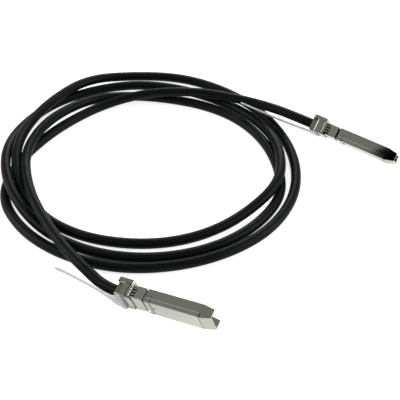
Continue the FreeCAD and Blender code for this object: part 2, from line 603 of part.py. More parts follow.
def plug_placement(lie):
    """The placement that lays a plug where it rests, its lowest point on z = 0."""
    turn = FreeCAD.Rotation(V(0, 0, 1), lie["yaw"])
    turn = turn.multiply(FreeCAD.Rotation(V(0, 1, 0), -lie["pitch"]))
    turn = turn.multiply(FreeCAD.Rotation(V(1, 0, 0), 90 + lie["roll"]))
    return FreeCAD.Placement(V(lie["at"][0], lie["at"][1], 0), turn)


def plug_pieces(lie):
    """Every piece of one plug, in its own frame, by name."""
    return {
        "base_shell": base_shell(), "rear_clamp": rear_clamp(), "top_cover": top_cover(),
        "spring_collar": spring_collar(), "release_slider": release_slider(),
        "return_spring": return_spring(), "pull_strap": pull_strap(lie["strap"]), "strap_pins": strap_pins(),
        "clamp_screws": clamp_screws(), "crimp_ferrule": crimp_ferrule(), "paddle_card": paddle_card(),
        "contact_pads": contact_pads(), "memory_chip": memory_chip(),
        "blocking_capacitors": blocking_capacitors(), "signal_pairs": signal_pairs(),
        "potting_block": potting_block(),
    }


def coil_point(k, radius, height):
    """The coil's point number k, from its centreline radius and its height in cable diameters."""
    angle = math.radians(COIL_FIRST - k * COIL_STEP)
    return V(COIL_MIDDLE[0] + radius * math.cos(angle), COIL_MIDDLE[1] + radius * math.sin(angle),
             height * CABLE_DIAMETER)


def coil_stations():
    """The coil's route, turn after turn, each point pushed out as far as the bend passes inside it."""
    out = 1 / math.cos(math.radians(COIL_STEP / 2))
    stations = [pair for turn in COIL_TURNS for pair in turn]
    return [coil_point(k, radius * out, height) for k, (radius, height) in enumerate(stations)]


def coil_solid():
    """The outer shape of the loose coil: a ring as wide as its turns, higher where they cross."""
    discs = []
    for pick, side in ((max, 1), (min, -1)):
        rim = []
        for k in range(len(COIL_TURNS[0])):
            radii = [turn[k][0] for turn in COIL_TURNS if k < len(turn)]
            rim.append(coil_point(k, pick(radii) + side * (CABLE_DIAMETER / 2 + COIL_SLACK), 0))
        curve = Part.BSplineCurve()
        curve.interpolate(rim, PeriodicFlag=True)
        discs.append(Part.Face(Part.Wire(curve.toShape())))
    flat = discs[0].cut(discs[1])
    top = (max(height for turn in COIL_TURNS for _, height in turn) + 0.5) * CABLE_DIAMETER + COIL_SLACK
    layers = [flat.extrude(V(0, 0, CABLE_DIAMETER + 0.1))]
    reach = 2 * max(radius for turn in COIL_TURNS for radius, _ in turn)
    for start, end in COIL_HIGH:
        sector = Part.makeCylinder(reach, top, V(*COIL_MIDDLE, 0), V(0, 0, 1), end - start)
        sector.rotate(V(*COIL_MIDDLE, 0), V(0, 0, 1), start)
        layers.append(flat.extrude(V(0, 0, top)).common(sector))
    return fuse(layers)


def cable_tube(name, points):
    """A round tube along straight runs joined by tangent arcs, as large as the runs allow."""
    edges = []
    radii = []
    here = points[0]
    for k in range(1, len(points) - 1):
        into = points[k] - points[k - 1]
        away = points[k + 1] - points[k]
        half = into.getAngle(away) / 2
        reach = 0.45 * min(into.Length, away.Length)
        start = points[k] - into * (reach / into.Length)
        end = points[k] + away * (reach / away.Length)
        toward = (start + end) * 0.5 - points[k]
        radius = reach / math.tan(half)
        radii.append(round(radius, 1))
        middle = points[k] + toward * ((radius / math.cos(half) - radius) / toward.Length)
        edges.append(Part.LineSegment(here, start).toShape())
        edges.append(Part.Arc(start, middle, end).toShape())
        here = end
    edges.append(Part.LineSegment(here, points[-1]).toShape())
    path = Part.Wire(edges)
    first = points[1] - points[0]
    section = Part.Wire(Part.Circle(points[0], first, CABLE_DIAMETER / 2).toShape())
    tube = path.makePipeShell([section], True, False)
    expected = math.pi * (CABLE_DIAMETER / 2) ** 2 * path.Length
    print(name, "length", round(path.Length, 1), "bend radii", radii, "volume ratio",
          round(tube.Volume / expected, 4), "valid", tube.isValid())
    return tube


def build():
    """Every node of the part, placed in the part's frame."""
    nodes = {}
    exits = {}
    for name, lie in PLUGS.items():
        pieces = plug_pieces(lie)
        placement = plug_placement(lie)
        laid = {}
        for piece, shape in pieces.items():
            shape = shape.copy()
            shape.Placement = placement
            laid[piece] = shape
        lift = -min(s.BoundBox.ZMin for s in laid.values())
        for piece, shape in laid.items():
            shape.translate(V(0, 0, lift))
            nodes[piece + "_" + name] = shape
        placement.move(V(0, 0, lift))
        exits[name] = [placement.multVec(V(x, 0, 0)) for x in (CABLE_STRAIGHT, CABLE_START)]
        print("plug", name, "axis height", round(lift, 2),
              "cable leaves", [tuple(round(c, 2) for c in p) for p in exits[name]])
    turns = coil_stations()
    nodes["cable_lead_a"] = cable_tube("lead a", turns[2::-1] + [V(*p) for p in LEAD_A] + exits["a"])
    nodes["cable_lead_b"] = cable_tube("lead b", turns[-3:] + [V(*p) for p in LEAD_B] + exits["b"])
    nodes["cable_coil"] = coil_solid()
    return nodes


def main():
    """Write one STEP file for each node."""
    os.makedirs("parts", exist_ok=True)
    nodes = build()
    whole = FreeCAD.BoundBox()
    for name, shape in nodes.items():
        shape.exportStep("parts/%s.step" % name)
        if not name.startswith("cable_"):
            whole.add(shape.BoundBox)
        print(name, len(shape.Solids), "solids", "valid" if shape.isValid() else "NOT VALID",
              round(shape.Volume, 1))
    print("plugs' box", whole)


main()
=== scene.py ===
"""Dressed model of a direct attach copper cable: two pluggable plugs on one coiled black cable."""
import logging
import math
from dataclasses import dataclass, field
from enum import Enum

import bmesh
import bpy
from mathutils import Euler, Matrix, Vector


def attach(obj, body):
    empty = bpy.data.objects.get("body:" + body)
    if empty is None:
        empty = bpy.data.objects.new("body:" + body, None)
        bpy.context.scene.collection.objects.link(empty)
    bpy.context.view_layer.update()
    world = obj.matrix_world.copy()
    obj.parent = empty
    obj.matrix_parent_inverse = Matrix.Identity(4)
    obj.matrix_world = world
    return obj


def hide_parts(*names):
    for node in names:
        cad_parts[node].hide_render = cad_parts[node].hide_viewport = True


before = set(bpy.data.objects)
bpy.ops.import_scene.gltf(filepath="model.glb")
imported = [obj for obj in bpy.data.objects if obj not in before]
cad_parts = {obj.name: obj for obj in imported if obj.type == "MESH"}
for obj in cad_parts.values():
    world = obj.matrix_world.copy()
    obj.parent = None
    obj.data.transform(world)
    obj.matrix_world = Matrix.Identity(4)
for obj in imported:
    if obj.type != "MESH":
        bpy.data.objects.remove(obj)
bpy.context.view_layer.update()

LOG = logging.getLogger("direct_attach_cable")
MM = 0.001
Colour = tuple[float, float, float]
Point = tuple[float, float, float]


class Body(Enum):
    """The bodies of the model that pieces ride on."""

    MAIN = "cable_assembly"
    RELEASE_A = "release_a"
    RELEASE_B = "release_b"


class Grain(Enum):
    """How a metal surface was made."""

    CAST = "cast"
    STAMPED = "stamped"
    SPRING = "spring"


class Tone(Enum):
    """Painted shade and painted highlight laid on stretches of plating, as linear colours."""

    # Painted deep shade for the collar windows, the neck groove and the seams between parts.
    PAINTED_DEEP_SHADE = (0.012, 0.012, 0.010)
    # Painted softer shade for the same recesses where less shade falls.
    SHADED = (0.30, 0.30, 0.255)
    # Painted highlight along the cover's flange edge.
    PAINTED_EDGE_HIGHLIGHT = (0.98, 0.98, 0.92)
    # Painted shade on the rounded cable cuff.
    PAINTED_CUFF_SHADE = (0.40, 0.40, 0.325)


def linear(value: float) -> float:
    """One display channel from 0 to 255 as a linear value.

    Args:
        value: the display value.

    Returns:
        The linear value.
    """
    share = value / 255.0
    return share / 12.92 if share <= 0.04045 else ((share + 0.055) / 1.055) ** 2.4


def shade(red: float, green: float, blue: float) -> Colour:
    """A display colour, 0 to 255 a channel, as linear values."""
    return (linear(red), linear(green), linear(blue))


@dataclass
class NodeBench:
    """A material's node tree with short ways to add to it."""

    name: str
    material: bpy.types.Material = field(init=False)
    tree: bpy.types.NodeTree = field(init=False)
    shader: bpy.types.Node = field(init=False)

    def __post_init__(self) -> None:
        """Makes the material with a Principled shader wired to its output."""
        self.material = bpy.data.materials.new(self.name)
        self.material.use_nodes = True
        self.tree = self.material.node_tree
        self.shader = self.tree.nodes["Principled BSDF"]

    def add(self, kind: str, **values: object) -> bpy.types.Node:
        """Adds a node and sets its fields.

        Args:
            kind: the node's class name without the ShaderNode part.
            **values: attributes of the node.

        Returns:
            The new node.
        """
        node = self.tree.nodes.new("ShaderNode" + kind)
        for key, value in values.items():
            setattr(node, key, value)
        return node

    def link(self, source: bpy.types.NodeSocket, target: bpy.types.NodeSocket) -> None:
        """Wires one socket to another."""
        self.tree.links.new(source, target)

    def place(self, origin: Vector, turn: Euler, scale: Point = (1, 1, 1)) -> bpy.types.NodeSocket:
        """Object coordinates seen from a piece's own frame.

        Args:
            origin: where that frame stands, in metres.
            turn: how it is turned.
            scale: how much each of its axes is stretched for the pattern.

        Returns:
            The socket that gives the coordinates.
        """
        coordinate = self.add("TexCoord")
        own = self.add("Mapping", vector_type="TEXTURE")
        own.inputs["Location"].default_value = origin
        own.inputs["Rotation"].default_value = turn
        self.link(coordinate.outputs["Object"], own.inputs["Vector"])
        stretch = self.add("Mapping", vector_type="POINT")
        stretch.inputs["Scale"].default_value = scale
        self.link(own.outputs["Vector"], stretch.inputs["Vector"])
        return stretch.outputs["Vector"]

    def noise(self, where: bpy.types.NodeSocket, scale: float, detail: float) -> bpy.types.NodeSocket:
        """A noise pattern.

        Args:
            where: the coordinates it reads.
            scale: cells in a metre.
            detail: how many finer layers it has.

        Returns:
            The socket that gives it, about 0 to 1.
        """
        node = self.add("TexNoise")
        node.inputs["Scale"].default_value = scale
        node.inputs["Detail"].default_value = detail
        self.link(where, node.inputs["Vector"])
        return node.outputs["Fac"]

    def spread(self, source: bpy.types.NodeSocket, low: float, high: float, at_low: float = 0.3,
               at_high: float = 0.7) -> bpy.types.NodeSocket:
        """A pattern's values brought into another range.

        Args:
            source: the pattern.
            low: the result at at_low and below.
            high: the result at at_high and above.
            at_low: the pattern's value that gives low.
            at_high: the pattern's value that gives high.

        Returns:
            The socket that gives the new values.
        """
        node = self.add("MapRange")
        node.inputs["From Min"].default_value = at_low
        node.inputs["From Max"].default_value = at_high
        node.inputs["To Min"].default_value = low
        node.inputs["To Max"].default_value = high
        self.link(source, node.inputs["Value"])
        return node.outputs["Result"]

    def blend(self, share: bpy.types.NodeSocket, first: Colour, second: Colour) -> bpy.types.NodeSocket:
        """Two colours mixed by a pattern.

        Args:
            share: the pattern, 0 for the first colour and 1 for the second.
            first: a linear colour.
            second: a linear colour.

        Returns:
            The socket that gives the colour.
        """
        node = self.add("Mix", data_type="RGBA")
        colours = [s for s in node.inputs if s.type == "RGBA"]
        colours[0].default_value = (*first, 1.0)
        colours[1].default_value = (*second, 1.0)
        self.link(share, node.inputs["Factor"])
        return [s for s in node.outputs if s.type == "RGBA"][0]

    def relief(self, height: bpy.types.NodeSocket, depth: float, strength: float) -> None:
        """Gives the shader a bump.

        Args:
            height: the pattern whose values are the height.
            depth: how far 0 lies below 1, in metres.
            strength: how much of it shows.
        """
        node = self.add("Bump")
        node.inputs["Distance"].default_value = depth
        node.inputs["Strength"].default_value = strength
        self.link(height, node.inputs["Height"])
        self.link(node.outputs["Normal"], self.shader.inputs["Normal"])

    def value(self, name: str, value: object) -> None:
        """Sets one of the shader's own sockets."""
        self.shader.inputs[name].default_value = value


@dataclass(frozen=True)
class Patch:
    """A stretch of a plug with painted shade or painted highlight, by its own axes, in millimetres."""

    tone: Tone
    along: tuple[float, float]
    out: tuple[float, float] = (-9.0, 9.0)
    plugs: str = "ab"


@dataclass(frozen=True)
class PlatedFinish:
    """Bright metal on a casting or a sheet: nickel or gold plate, or bare copper."""

    name: str
    light: Colour
    dark: Colour
    roughness: float
    grain: Grain
    drawn: Point = (0.05, 1, 1)
    cloud_cells: float = 90
    grain_cells: float = 3600
    smoother: float = 0.01
    rougher: float = 0.02
    grain_depth: float = 0.000001
    grain_strength: float = 0.12

    def inside(self, bench: NodeBench, value: bpy.types.NodeSocket,
               limits: tuple[float, float]) -> bpy.types.NodeSocket:
        """A pattern that is 1 between two limits and 0 elsewhere.

        Args:
            bench: the material's tree.
            value: a coordinate in metres.
            limits: the limits in millimetres.

        Returns:
            The socket that gives it.
        """
        near = bench.add("Math", operation="COMPARE")
        bench.link(value, near.inputs[0])
        near.inputs[1].default_value = sum(limits) / 2 * MM
        near.inputs[2].default_value = (limits[1] - limits[0]) / 2 * MM
        return near.outputs[0]

    def lay(self, bench: NodeBench, where: bpy.types.NodeSocket, colour: bpy.types.NodeSocket,
            patch: Patch) -> bpy.types.NodeSocket:
        """A colour with painted shade or painted highlight on one stretch of the plug.

        Args:
            bench: the material's tree.
            where: coordinates in the plug's own frame, in metres.
            colour: the colour so far.
            patch: the stretch.

        Returns:
            The socket that gives the result.
        """
        parts = bench.add("SeparateXYZ")
        bench.link(where, parts.inputs["Vector"])
        both = bench.add("Math", operation="MULTIPLY")
        bench.link(self.inside(bench, parts.outputs["X"], patch.along), both.inputs[0])
        bench.link(self.inside(bench, parts.outputs["Z"], patch.out), both.inputs[1])
        mixed = bench.blend(both.outputs[0], (0, 0, 0), patch.tone.value)
        bench.link(colour, [s for s in mixed.node.inputs if s.type == "RGBA"][0])
        return mixed

    def material(self, lie: "PlugLie", patches: tuple[Patch, ...] = ()) -> bpy.types.Material:
        """The finish on one plug, its grain in line with the plug.

        Args:
            lie: how that plug lies.
            patches: stretches with painted shade or painted highlight.

        Returns:
            The material.
        """
        bench = NodeBench(f"{self.name}_{lie.name}")
        even = bench.place(lie.origin(), lie.turn())
        drawn = bench.place(lie.origin(), lie.turn(), self.drawn)
        cloud = bench.noise(even, self.cloud_cells, 3)
        fine = bench.noise(even if self.grain is Grain.CAST else drawn, self.grain_cells, 2)
        colour = bench.blend(bench.spread(cloud, 0, 1), self.light, self.dark)
        for patch in (patch for patch in patches if lie.name in patch.plugs):
            colour = self.lay(bench, even, colour, patch)
        bench.link(colour, bench.shader.inputs["Base Color"])
        bench.value("Metallic", 1.0)
        bench.link(bench.spread(fine, self.roughness - self.smoother, self.roughness + self.rougher),
                   bench.shader.inputs["Roughness"])
        bench.relief(fine, self.grain_depth, self.grain_strength)
        return bench.material


@dataclass(frozen=True)
class JacketFinish:
    """Satin black extruded jacket."""

    name: str
    body: Colour
    worn: Colour
    roughness: float
    cloud_cells: float = 45
    grain_cells: float = 2600
    shine: float = 0.16
    shine_tint: Colour = (0.86, 1.0, 0.92)
    wear: tuple[float, float] = (0.4, 0.75)
    smoother: float = 0.04
    rougher: float = 0.06
    grain_depth: float = 0.00001
    grain_strength: float = 0.3

    def material(self) -> bpy.types.Material:
        """The jacket's material."""
        bench = NodeBench(self.name)
        where = bench.place(Vector(), Euler())
        cloud = bench.noise(where, self.cloud_cells, 4)
        fine = bench.noise(where, self.grain_cells, 2)
        bench.link(bench.blend(bench.spread(cloud, 0, 1, *self.wear), self.body, self.worn),
                   bench.shader.inputs["Base Color"])
        bench.link(bench.spread(fine, self.roughness - self.smoother, self.roughness + self.rougher),
                   bench.shader.inputs["Roughness"])
        bench.value("Specular IOR Level", self.shine)
        bench.value("Specular Tint", (*self.shine_tint, 1.0))
        bench.relief(fine, self.grain_depth, self.grain_strength)
        return bench.material


@dataclass(frozen=True)
class MouldedFinish:
    """A small moulded, fired or printed part in one colour with a slight mottle."""

    name: str
    light: Colour
    dark: Colour
    roughness: float
    cloud_cells: float
    opacity: float = 1.0
    finer: float = 12
    uneven: float = 0.05
    grain_depth: float = 0.00001
    grain_strength: float = 0.3

    def material(self) -> bpy.types.Material:
        """The part's material."""
        bench = NodeBench(self.name)
        where = bench.place(Vector(), Euler())
        cloud = bench.noise(where, self.cloud_cells, 3)
        fine = bench.noise(where, self.cloud_cells * self.finer, 2)
        bench.link(bench.blend(bench.spread(cloud, 0, 1), self.light, self.dark),
                   bench.shader.inputs["Base Color"])
        bench.link(bench.spread(fine, self.roughness - self.uneven, self.roughness + self.uneven),
                   bench.shader.inputs["Roughness"])
        bench.value("Alpha", self.opacity)
        if self.grain_depth:
            bench.relief(fine, self.grain_depth, self.grain_strength)
        return bench.material


CASTING = PlatedFinish("plated_casting", (0.53, 0.535, 0.465), (0.50, 0.505, 0.435), 0.03, Grain.CAST)
STAMPING = PlatedFinish("stamped_steel", (0.57, 0.575, 0.515), (0.55, 0.555, 0.495), 0.05, Grain.STAMPED)
SPRING_SHEET = PlatedFinish("spring_sheet", (0.60, 0.60, 0.54), (0.54, 0.54, 0.48), 0.08, Grain.SPRING)
COPPER = PlatedFinish("crimped_copper", (0.82, 0.52, 0.36), (0.70, 0.42, 0.28), 0.30, Grain.SPRING)
GOLD = PlatedFinish("gold_plate", (0.86, 0.66, 0.30), (0.80, 0.58, 0.24), 0.22, Grain.SPRING)
JACKET = JacketFinish("jacket", shade(6, 8, 6), shade(11, 13, 11), 0.46)
STRAP = MouldedFinish("strap_moulding", (0.97, 0.98, 0.98), (0.94, 0.96, 0.97), 0.26, 60, opacity=0.7,
                      grain_depth=0.0)
# Stretches with painted shade or painted highlight, by piece: their limits along the plug and, in the second
# pair, outwards from its middle, in millimetres by the plug's own axes.
WINDOWS = (-9.85, -6.45)
CLAMP_WINDOWS = (-9.15, -6.45)
NECK_GROOVE = (-1.35, 0.05)
NECK_EDGE = (-0.6, 0.05)
CUFF = (-21.0, -17.02)
PAINTED_LIGHT_PATCHES = {
    "base_shell": (
        # Plug b's collar windows and neck groove get the deep painted shade, and plug a's get the softer
        # painted shade, because light falls differently on the two plugs.
        Patch(Tone.PAINTED_DEEP_SHADE, WINDOWS, plugs="b"), Patch(Tone.SHADED, WINDOWS, plugs="a"),
        Patch(Tone.PAINTED_DEEP_SHADE, NECK_GROOVE, plugs="b"), Patch(Tone.SHADED, NECK_EDGE, plugs="a"),
        # Painted shade in the seam near the nose and on the rounded cable cuff.
        Patch(Tone.PAINTED_DEEP_SHADE, (34.15, 34.6), (1.3, 9.0)), Patch(Tone.PAINTED_CUFF_SHADE, CUFF, (-4.7, 4.7))),
    "rear_clamp": (
        # The same painted shade in the windows and neck groove, deep on plug b and softer on plug a.
        Patch(Tone.PAINTED_DEEP_SHADE, WINDOWS, plugs="b"), Patch(Tone.SHADED, CLAMP_WINDOWS, plugs="a"),
        Patch(Tone.PAINTED_DEEP_SHADE, NECK_GROOVE, plugs="b"), Patch(Tone.SHADED, NECK_EDGE, plugs="a"),
        # Painted shade in one seam and on the cuff.
        Patch(Tone.PAINTED_DEEP_SHADE, (3.25, 3.9)), Patch(Tone.PAINTED_CUFF_SHADE, CUFF)),
    "top_cover": (
        # Painted shade in the cover's seam and a painted highlight along its flange edge.
        Patch(Tone.PAINTED_DEEP_SHADE, (3.4, 3.8), (2.0, 9.0)), Patch(Tone.PAINTED_EDGE_HIGHLIGHT, (0.4, 34.0), (1.35, 1.9))),
    # Painted shade in the slider's two seams.
    "release_slider": (Patch(Tone.PAINTED_DEEP_SHADE, (3.1, 3.4)), Patch(Tone.PAINTED_DEEP_SHADE, (0.5, 0.8))),
}
CARD = MouldedFinish("card", shade(78, 74, 30), shade(58, 58, 26), 0.30, 300)
CHIP = MouldedFinish("chip", shade(28, 28, 29), shade(38, 38, 38), 0.50, 500)
CERAMIC = MouldedFinish("ceramic", shade(150, 118, 88), shade(130, 98, 70), 0.42, 700)
CORE = MouldedFinish("core_insulation", shade(214, 214, 220), shade(196, 196, 204), 0.32, 300)
POTTING = MouldedFinish("potting", shade(40, 40, 42), shade(52, 52, 54), 0.55, 300)


@dataclass(frozen=True)
class StrapStation:
    """One place along a pull strap, in millimetres and degrees, in the plug's frame."""

    behind: float
    shift: float
    lift: float
    twist: float
    width: float


@dataclass(frozen=True)
class PlugLie:
    """How one plug lies: its own origin, its turns, and its strap's course."""

    name: str
    body: Body
    at: Point
    yaw: float
    pitch: float
    roll: float
    strap: tuple[StrapStation, ...]

    def origin(self) -> Vector:
        """The plug's own origin, in metres."""
        return Vector(self.at) * MM

    def turn(self) -> Euler:
        """How the plug's frame is turned."""
        return Euler([math.radians(a) for a in (90 + self.roll, -self.pitch, self.yaw)], "XYZ")

    def matrix(self) -> Matrix:
        """From the plug's frame in millimetres to the model's in metres."""
        return Matrix.Translation(self.origin()) @ self.turn().to_matrix().to_4x4() @ Matrix.Scale(MM, 4)


STRAP_WIDE = 14.4
STRAP_NARROW = 8.0
LIE_A = PlugLie("a", Body.RELEASE_A, (-52.2, -80.1, 11.0), -27.7, 9.3, 14.5, (
    StrapStation(0, 0, 0, 0, 11.6), StrapStation(3, 0, 0, 0, 9.6),
    StrapStation(7, 0.7, -0.8, 4, STRAP_NARROW), StrapStation(18, 2.0, -2.9, 11, STRAP_NARROW),
    StrapStation(31, 3.5, -4.9, 12, STRAP_NARROW), StrapStation(42, 4.9, -6.3, 12, STRAP_NARROW)))
LIE_B = PlugLie("b", Body.RELEASE_B, (70.8, 67.2, 10.32), -31.2, -4.5, 42.0, (
    StrapStation(0, 0, 0, 0, 11.6), StrapStation(3, 0, 0, 0, 9.6),
    StrapStation(8, 0, 0.25, 0, STRAP_NARROW), StrapStation(22, 0.3, 0.8, 0, STRAP_NARROW),
    StrapStation(37, 1.0, 1.0, 2, STRAP_NARROW), StrapStation(52, 2.0, 1.0, 4, STRAP_NARROW)))


def smooth(obj: bpy.types.Object) -> None:
    """Shades an object's mesh smoothly."""
    for face in obj.data.polygons:
        face.use_smooth = True


def link_mesh(name: str, shape: bmesh.types.BMesh) -> bpy.types.Object:
    """Puts a finished shape into the scene.

    Args:
        name: the piece's name.
        shape: its geometry, in metres, which is freed.

    Returns:
        The new object.
    """
    bmesh.ops.recalc_face_normals(shape, faces=shape.faces[:])
    mesh = bpy.data.meshes.new(name)
    shape.to_mesh(mesh)
    shape.free()
    obj = bpy.data.objects.new(name, mesh)
    bpy.context.scene.collection.objects.link(obj)
    return obj


@dataclass
class StrapSweep:
    """A node tree that sweeps a flat, round-edged section along a strap's course."""

    name: str
    edge_share: float = 0.6
    tree: bpy.types.NodeTree = field(init=False)
    sockets: dict[str, str] = field(init=False, default_factory=dict)

    def __post_init__(self) -> None:
        """Builds the tree with its named inputs."""
        self.tree = bpy.data.node_groups.new(self.name, "GeometryNodeTree")
        face = self.tree.interface
        for name, kind in (("Course", "Geometry"), ("Rise", "Float"), ("Edge", "Float"), ("Corners", "Int"),
                           ("Finish", "Material")):
            socket = face.new_socket(name, in_out="INPUT", socket_type=f"NodeSocket{kind}")
            self.sockets[name] = socket.identifier
        face.new_socket("Strap", in_out="OUTPUT", socket_type="NodeSocketGeometry")
        self.wire()

    def add(self, kind: str, links: dict[str | int, bpy.types.NodeSocket] | None = None,
            **values: object) -> bpy.types.Node:
        """Adds a node, sets its fields and wires its inputs.

        Args:
            kind: the node's class name.
            links: its inputs, by name or number, and what feeds them.
            **values: attributes of the node.

        Returns:
            The new node.
        """
        node = self.tree.nodes.new(kind)
        for key, value in values.items():
            setattr(node, key, value)
        for key, source in (links or {}).items():
            self.tree.links.new(source, node.inputs[key])
        return node

    def named(self, name: str, kind: str = "FLOAT_VECTOR") -> bpy.types.NodeSocket:
        """The values of a named attribute.

        Args:
            name: the attribute's name.
            kind: its type, as the node names it.

        Returns:
            The socket that gives them.
        """
        node = self.add("GeometryNodeInputNamedAttribute", data_type=kind)
        node.inputs["Name"].default_value = name
        return node.outputs["Attribute"]

    def maths(self, kind: str, first: bpy.types.NodeSocket,
              second: bpy.types.NodeSocket) -> bpy.types.NodeSocket:
        """Two numbers put through one operation.

        Args:
            kind: the operation, as the node names it.
            first: the first number.
            second: the second number.

        Returns:
            The socket that gives the result.
        """
        return self.add("ShaderNodeMath", {0: first, 1: second}, operation=kind).outputs[0]

    def reach(self, part: bpy.types.NodeSocket, full: bpy.types.NodeSocket,
              edge: bpy.types.NodeSocket) -> bpy.types.NodeSocket:
        """How far a section's corner lies from the middle in one direction.

        Args:
            part: the corner's place on a circle of radius 1, in that direction.
            full: the section's half size in that direction.
            edge: the radius of its round edge.

        Returns:
            The distance, with its sign.
        """
        way = self.add("ShaderNodeMath", {0: part}, operation="SIGN").outputs[0]
        flat = self.maths("MULTIPLY", way, self.maths("SUBTRACT", full, edge))
        return self.maths("ADD", flat, self.maths("MULTIPLY", part, edge))

    def wire(self) -> None:
        """Wires the tree from the course to the finished strap."""
        given = self.add("NodeGroupInput").outputs
        rail = self.add("GeometryNodeMeshToCurve", {"Mesh": given["Course"]})
        ring = self.add("GeometryNodeCurvePrimitiveCircle", {"Resolution": given["Corners"]})
        ring.inputs["Radius"].default_value = 1.0
        place = self.add("GeometryNodeInputPosition").outputs["Position"]
        kept = self.add("GeometryNodeStoreNamedAttribute",
                        {"Geometry": ring.outputs["Curve"], "Value": place}, data_type="FLOAT_VECTOR")
        kept.inputs["Name"].default_value = "section"
        skin = self.add("GeometryNodeCurveToMesh",
                        {"Curve": rail.outputs["Curve"], "Profile Curve": kept.outputs["Geometry"]})
        skin.inputs["Fill Caps"].default_value = True
        parts = self.add("ShaderNodeSeparateXYZ", {0: self.named("section")}).outputs
        half = self.named("half", "FLOAT")
        least = self.add("ShaderNodeMath", {0: half}, operation="MULTIPLY")
        least.inputs[1].default_value = self.edge_share
        edge = self.maths("MINIMUM", given["Edge"], least.outputs[0])
        place = self.named("spine")
        for part, full, way in ((parts["X"], half, "across"), (parts["Y"], given["Rise"], "outward")):
            scaled = self.add("ShaderNodeVectorMath", {0: self.named(way)}, operation="SCALE")
            self.tree.links.new(self.reach(part, full, edge), scaled.inputs["Scale"])
            place = self.add("ShaderNodeVectorMath", {0: place, 1: scaled.outputs[0]},
                             operation="ADD").outputs[0]
        moved = self.add("GeometryNodeSetPosition", {"Geometry": skin.outputs["Mesh"], "Position": place})
        real = self.add("GeometryNodeRealizeInstances", {"Geometry": moved.outputs["Geometry"]})
        done = self.add("GeometryNodeSetMaterial",
                        {"Geometry": real.outputs["Geometry"], "Material": given["Finish"]})
        self.add("NodeGroupOutput", {0: done.outputs["Geometry"]})

    def run(self, carrier: bpy.types.Object, values: dict[str, object]) -> bpy.types.Mesh:
        """Runs the tree on a course and removes the object that carried it.

        Args:
            carrier: the object whose mesh is the course.
            values: the tree's inputs by name.

        Returns:
            The strap as a plain mesh, in the model's frame.
        """
        modifier = carrier.modifiers.new(self.name, "NODES")
        modifier.node_group = self.tree
        for name, value in values.items():
            modifier[self.sockets[name]] = value
        seen = carrier.evaluated_get(bpy.context.evaluated_depsgraph_get())
        mesh = bpy.data.meshes.new_from_object(seen)
        for layer in [a.name for a in mesh.attributes if a.name in
                      ("spine", "across", "outward", "half", "section")]:
            mesh.attributes.remove(mesh.attributes[layer])
        carrier.modifiers.clear()
        course = carrier.data
        bpy.data.objects.remove(carrier)
        bpy.data.meshes.remove(course)
        return mesh


